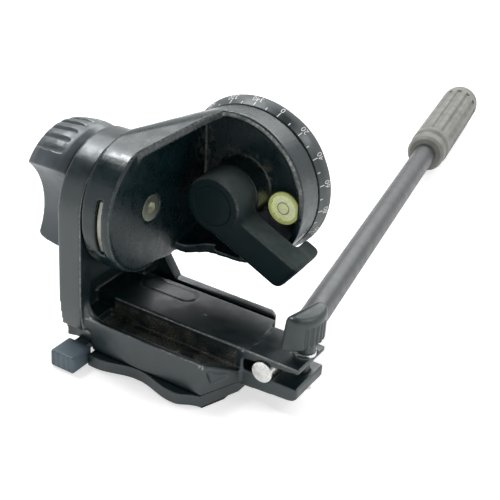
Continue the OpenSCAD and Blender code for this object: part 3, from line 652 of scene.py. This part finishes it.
def lever_field(along, y, over):
    """Hub disc and arm strip joined with a wide fillet on the upper side, drawn out along the pan axis
    with rounded edges; the hook is a block behind the arm's end, and a leaning plane trims the end."""
    from_hub = np.hypot(along, over)
    strip_end = (arm_end + arm_overrun, arm_high)
    fillet = under_fillet + (upper_fillet - under_fillet) * np.clip((over + fillet_low) / fillet_rise, 0, 1)
    plan = joined(from_hub - hub_r, oblong(along, over, (0, arm_low), strip_end, arm_corner), fillet)
    front = slab(plan, y, hub_front, arm_back, arm_round)
    hub = slab(from_hub - hub_r + hub_inset, y, hub_front + hub_start, hub_back, hub_round)
    hook = slab(oblong(along, over, (hook_start, arm_low), strip_end, hook_corner), y,
                hub_front + hook_inset, hook_back, hook_round)
    whole = joined(np.minimum(front, hub), hook, hook_fillet)
    lean = (along - arm_end + end_inset) * np.cos(end_lean) - (over - arm_low) * np.sin(end_lean)
    whole = cut(whole, lean, end_round)
    seat = np.maximum(from_hub - plate_r, y - hub_front - plate_depth)
    hollow = np.maximum(from_hub - nut_r, hub_front + nut_depth - y)
    return np.maximum(whole, -np.minimum(seat, hollow))


# The lever's edge mask paints a highlight, and its powder colour is painted light on its upper sides.
lever_finish = painted(
    "lever_finish", lever_dark, lever_light, gloss=0.46, specks=0.1, shine=0.14, wear_and_highlight=lever_edges,
    dust=lever_film, powder_and_sheen=painted_light_grey)
spots, quads = skin(lever_field, lever_low, lever_high, lever_cell)
lever_x = spots[:, 0] * np.cos(lever_turn) + spots[:, 2] * np.sin(lever_turn)
lever_z = spots[:, 2] * np.cos(lever_turn) - spots[:, 0] * np.sin(lever_turn)
lever_points = from_body(lever_x * mm, spots[:, 1] * mm, lever_z * mm + pan_rise)
lever = new_piece("lock_lever", lever_points, quads.tolist(), lever_finish, "pan_lock")
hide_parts("pan_lever")
crisp("lever_plate", lever_finish)

# Tilt lock knob: a dark grey moulding with two ribbed lobes round a brass insert, and a flat cap
# pressed into its face. It screws on the end of the tilt axle outside the arm.
knob_grain = 0.45 * mm
knob_dark, knob_light = (0.042, 0.056, 0.063), (0.054, 0.069, 0.078)
knob_finish = painted("knob_finish", knob_dark, knob_light, gloss=0.36, specks=0.2, shine=1.0)
cast("tilt_knob", knob_finish, knob_grain)
crisp("knob_cap", knob_finish)

# Wing knob of the handle clamp: a moulded wedge, flat on one side and bowed and ribbed on the other,
# with a rounded crown. It is screwed on the clamp bolt over a steel washer. Sizes are in millimetres.
wing_place, wing_turn = (50.5, 7.0, 22.4), np.radians(-13)
wing_high, wing_foot, wing_half, wing_lean = 18.0, 3.6, 10.0, 2.2
bow_x, bow_r, flat_x = -9.9, 15.0, 3.4
crown_x, crown_slope = 1.0, 0.096
flat_round, side_round, crown_round, under_round = 1.6, 2.0, 2.4, 1.0
rib_pitch, rib_reach = np.radians(10), 2
groove_r, groove_out, groove_below, groove_end, groove_lip = 0.75, 0.15, 4.5, 1.0, 0.5
stem_r, stem_high, stem_round, bolt_r, bolt_below = 4.1, 5, 0.3, 2.52, 5
wing_low, wing_far, wing_cell = (-5, -13.5, 0), (6, 11, 18.5), 0.3
wing_dark, wing_light = (0.020, 0.031, 0.032), (0.028, 0.040, 0.041)


def wing_field(x, y, z):
    """A bowed cylinder trimmed by a flat side, two ends, one of them leaning, and a crown that slopes
    down to the front, all with rounded edges, less five upright grooves; a round stem stands under it."""
    body = cut(np.hypot(x - bow_x, y) - bow_r, -x - flat_x, flat_round)
    body = cut(body, y - wing_half, side_round)
    sunk = 1 - (z - wing_foot) / (wing_high - wing_foot)
    body = cut(body, -y - wing_half - wing_lean * sunk, side_round)
    crown = z - wing_high + crown_slope * np.maximum(x + crown_x, 0) ** 1.5
    body = cut(body, crown, crown_round)
    body = cut(body, wing_foot - z, under_round)
    turn = np.arctan2(y, x - bow_x)
    nearest = rib_pitch * np.clip(np.round(turn / rib_pitch), -rib_reach, rib_reach)
    middle_r = bow_r + groove_out
    groove = np.hypot(x - bow_x - middle_r * np.cos(nearest), y - middle_r * np.sin(nearest)) - groove_r
    groove = cut(groove, z - wing_high + groove_below, groove_end)
    body = cut(body, -groove, groove_lip)
    from_bolt = np.hypot(x, y)
    stem = slab(from_bolt - stem_r, z, 0, stem_high, stem_round)
    hole = np.maximum(from_bolt - bolt_r, z - wing_high + bolt_below)
    return np.maximum(np.minimum(body, stem), -hole)


wing_finish = painted("wing_finish", wing_dark, wing_light, gloss=0.36, specks=0.2, shine=0.7)
spots, quads = skin(wing_field, wing_low, wing_far, wing_cell)
wing_points = np.stack([
    wing_place[0] + spots[:, 0] * np.cos(wing_turn) - spots[:, 1] * np.sin(wing_turn),
    wing_place[1] + spots[:, 0] * np.sin(wing_turn) + spots[:, 1] * np.cos(wing_turn),
    wing_place[2] + spots[:, 2]], axis=1) * mm
wing = new_piece("wing_grip", wing_points, quads.tolist(), wing_finish, "clamp_knob")
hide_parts("wing_knob")

# Release lever: a pressed flat lever on its pivot pin, held by a spring, with a blue-grey moulded
# finger block on its front end, ribbed across the front. Sizes are in millimetres.
pivot, eye_r, pin_r, spring_r, spring_depth = (-38.2, -8.0), 4.6, 2.06, 3.8, 1.3
strip_z, strip_sides, strip_overlap = (2.1, 5.7), (2.6, 3.4), 2
strip_corner, strip_round = 0.5, 0.4
block_low, block_high, block_z, block_round = (-41.8, -36.7), (-30.0, -24.7), (0.4, 8.0), 1.1
notch_count, notch_margin, notch_r, notch_inset, notch_foot, notch_lip = 4, 2, 0.8, 0.35, 1.6, 0.5
catch_low, catch_high, catch_cell = (-43.5, -37.5, 0), (-29, -2.5, 8.5), 0.28
catch_dark, catch_light = (0.078, 0.115, 0.140), (0.096, 0.135, 0.160)


def release_field(x, y, z):
    """A round eye and a strip, with a rounded block at its front end, less four upright grooves in the
    block's front and the pivot's hole with the spring's hollow."""
    from_pivot = np.hypot(x - pivot[0], y - pivot[1])
    eye = slab(from_pivot - eye_r, z, *strip_z, strip_round)
    strip_low = (pivot[0] - strip_sides[0], block_low[1] + strip_overlap)
    strip_high = (pivot[0] + strip_sides[1], pivot[1])
    strip = slab(oblong(x, y, strip_low, strip_high, strip_corner), z, *strip_z, strip_round)
    block = slab(oblong(x, y, block_low, block_high, block_round), z, *block_z, block_round)
    first = block_low[0] + notch_margin
    pitch = (block_high[0] - block_low[0] - 2 * notch_margin) / (notch_count - 1)
    nearest = first + pitch * np.clip(np.round((x - first) / pitch), 0, notch_count - 1)
    notch = np.hypot(x - nearest, y - block_low[1] + notch_inset) - notch_r
    block = cut(block, -np.maximum(notch, notch_foot - z), notch_lip)
    spring_hollow = np.maximum(from_pivot - spring_r, strip_z[1] - spring_depth - z)
    hollow = np.minimum(from_pivot - pin_r, spring_hollow)
    return np.maximum(np.minimum(np.minimum(eye, strip), block), -hollow)


catch_finish = painted("catch_finish", catch_dark, catch_light, gloss=0.48, specks=0.3, shine=0.8)
spots, quads = skin(release_field, catch_low, catch_high, catch_cell)
release = new_piece("release_catch", spots * mm, quads.tolist(), catch_finish, "release")
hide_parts("release_lever")


# Turned metal: the zinc-plated tilt axle, whose head shows in the drum, the blackened clamp bolt, and
# the steel and brass pins, nuts, washers and bushes. All have fine turning marks and a dull film.
def bright(name, colour, rough=0.28):
    """Bare metal: its colour dims and its shine dulls in soft patches, over fine scratches."""
    finish = Finish(name)
    haze = finish.noise(2.5 * mm, 4)
    scratch = finish.noise(0.5 * mm, 2)
    return finish.surface(
        Base_Color=finish.mix(haze.step(0.35, 0.75), colour, tuple(0.72 * c for c in colour)),
        Metallic=1.0, Roughness=rough + haze.step(0.3, 0.8, -0.06, 0.14),
        Normal=finish.bump(scratch, 0.012 * mm, 0.5, finish.rounded(0.3 * mm)))


steel = bright("bright_steel", (0.94, 0.94, 0.92))
crisp("tilt_axle", bright("zinc_plate", (0.58, 0.61, 0.49), 0.36))
crisp("clamp_bolt", bright("blackened_steel", (0.10, 0.11, 0.11), 0.4))
for name in ("clamp_washer", "clamp_nut", "knob_washer", "screw_washer", "camera_screw", "release_pin",
             "release_spring", "pan_spindle", "lever_nut"):
    crisp(name, steel)
brass = bright("turned_brass", (0.72, 0.55, 0.28))
for name in ("tripod_bush", "knob_insert"):
    crisp(name, brass)

# Handle: a bare steel rod end that the clamp holds, a black painted tube bent behind it, and a soft
# light-grey rubber grip with a domed end, pushed on the tube.
tube_dark, tube_light = (0.038, 0.041, 0.043), (0.050, 0.053, 0.055)
rubber_clean, rubber_dirty = (0.25, 0.25, 0.23), (0.19, 0.19, 0.175)
crisp("handle_rod", steel)
tube_black = painted("tube_black", tube_dark, tube_light, gloss=0.40, ripple=0.4, shine=0.9, edge=0.3)
for name in ("handle_tube", "handle_bend"):
    crisp(name, tube_black)
grip = Finish("grey_rubber")
grip_rubber = grip.surface(
    Base_Color=grip.mix(grip.noise(6 * mm, 4).step(0.35, 0.7), rubber_clean, rubber_dirty),
    Roughness=0.62, Normal=grip.bump(grip.noise(0.4 * mm, 2), 0.02 * mm, 0.6, grip.rounded(0.8 * mm)))
for name in ("handle_grip", "grip_end"):
    crisp(name, grip_rubber)

# Spirit level: a yellow moulded cup with pale liquid, a bubble and a clear window, pressed into the body's
# pocket. The cup, liquid and bubble have a small painted glow of their own, in place of the light that they
# scatter. A thin black circle is printed on the window, round the resting bubble.
level_x, level_z = 19.5 * mm, -5.2 * mm
window_front, ring_lift = 37.2 * mm, 0.45 * mm
ring_radii = np.array([2.45, 2.6, 2.75]) * mm
ring_steps, ring_rows = 64, len(ring_radii)


def glowing(name, grain, light, dark, rough, glow, strength):
    """A translucent piece, patchy in lumps of a grain, with a small painted glow."""
    finish = Finish(name)
    return finish.surface(Base_Color=finish.mix(finish.noise(grain), light, dark), Roughness=rough,
                          Emission_Color=(*glow, 1), Emission_Strength=strength)


crisp("level_cup", glowing(
    "yellow_cup", 2 * mm, light=(0.70, 0.74, 0.33), dark=(0.62, 0.66, 0.28), rough=0.35,
    glow=(0.70, 0.74, 0.26), strength=0.25))
crisp("level_fluid", glowing(
    "level_liquid", 3 * mm, light=(0.80, 0.82, 0.62), dark=(0.74, 0.77, 0.55), rough=0.15,
    glow=(0.76, 0.79, 0.58), strength=0.34))
crisp("level_bubble", glowing(
    "level_air", 1 * mm, light=(0.78, 0.80, 0.58), dark=(0.72, 0.75, 0.52), rough=0.1,
    glow=(0.74, 0.77, 0.54), strength=0.3))
glass = Finish("level_glass")
crisp("level_window", glass.surface(
    Base_Color=(0.9, 0.92, 0.8), Roughness=0.06, Alpha=glass.noise(3 * mm).step(0.3, 0.7, 0.10, 0.16)))


def on_window(turn, radius):
    """Circles round the level's middle, lifted in front of its window."""
    return from_body(level_x + radius * np.cos(turn), np.full_like(turn * radius, window_front - ring_lift),
                     level_z + pan_rise + radius * np.sin(turn))


ring_turns = np.linspace(0, 2 * np.pi, ring_steps + 1)[:-1]
ring_points = on_window(ring_turns[:, None], ring_radii[None, :])
here = ring_rows * np.arange(ring_steps)[:, None] + np.arange(ring_rows - 1)
ahead = np.roll(here, -1, axis=0)
ring_faces = np.stack([here, here + 1, ahead + 1, ahead], axis=-1).reshape(-1, 4).tolist()
ink = Finish("ring_ink")
ring_ink = ink.surface(
    Base_Color=ink.mix(ink.noise(1 * mm), (0.02, 0.025, 0.02), (0.03, 0.035, 0.03)), Roughness=0.5)
new_piece("level_ring", ring_points, ring_faces, ring_ink, "tilt_body")

# Bearings and friction parts: cream nylon bushes, a disc and a ring, turned or moulded and pressed in
# the castings, where they are out of sight.
nylon = Finish("bearing_nylon")
nylon_plastic = nylon.surface(
    Base_Color=nylon.mix(nylon.noise(4 * mm), (0.55, 0.5, 0.4), (0.5, 0.45, 0.36)), Roughness=0.5)
for name in ("axle_bush", "pan_bush", "tilt_friction_disc", "pan_friction_ring"):
    crisp(name, nylon_plastic)

# Sleeve: a pale moulding in the tilt drum that shows through the slot in the drum's rim and is darker
# towards the bottom. Its raised rib stands in the slot, a little below the rim.
sleeve_pale, sleeve_dull = (0.74, 0.73, 0.62), (0.56, 0.55, 0.46)
sleeve_low_tone = (0.10, 0.095, 0.07)
rib_start, rib_end, rib_rows = 244.5, 293.5, 41
rib_x = np.array([-26.55, -26.5, -26.2, -24.4, -24.1, -24.05]) * mm
rib_r = np.array([24.2, 25.9, 26.2, 26.2, 25.9, 24.2]) * mm
sleeve = Finish("pale_sleeve")
sleeve_clean = sleeve.mix(sleeve.noise(2 * mm, 4), sleeve_pale, sleeve_dull)
low_tone_height = sleeve.axes()[2] + sleeve.noise(4 * mm, 3) * 10 * mm
sleeve_low = low_tone_height.step(70 * mm, 60 * mm, 0.0, 0.75)
sleeve_plastic = sleeve.surface(Base_Color=sleeve.mix(sleeve_low, sleeve_clean, sleeve_low_tone), Roughness=0.5)
crisp("tilt_sleeve", sleeve_plastic)
rib_turns = np.radians(np.linspace(rib_start, rib_end, rib_rows))[:, None]
rib_points = from_body(np.broadcast_to(rib_x, (rib_rows, len(rib_x))),
                       rib_r * np.sin(rib_turns), -rib_r * np.cos(rib_turns))
rib_numbers = np.arange(rib_rows * len(rib_x)).reshape(rib_rows, -1)
beside = np.roll(rib_numbers, -1, axis=1)
rib_faces = np.stack([rib_numbers[:-1], rib_numbers[1:], beside[1:], beside[:-1]], axis=-1)
rib_faces = rib_faces.reshape(-1, 4).tolist() + [rib_numbers[0].tolist(), rib_numbers[-1][::-1].tolist()]
new_piece("sleeve_rib", rib_points, rib_faces, sleeve_plastic, "tilt_body")

# Rubber pads: thin black sheets with a fine grain, glued on the camera plate's face and on the face
# of the pan base.
pad = Finish("black_rubber")
pad_rubber = pad.surface(
    Base_Color=pad.mix(pad.noise(3 * mm), (0.016, 0.016, 0.017), (0.024, 0.024, 0.025)),
    Roughness=0.75, Normal=pad.bump(pad.noise(0.6 * mm, 2), 0.05 * mm, 0.6))
for name in ("base_pad", "plate_pad"):
    crisp(name, pad_rubber)
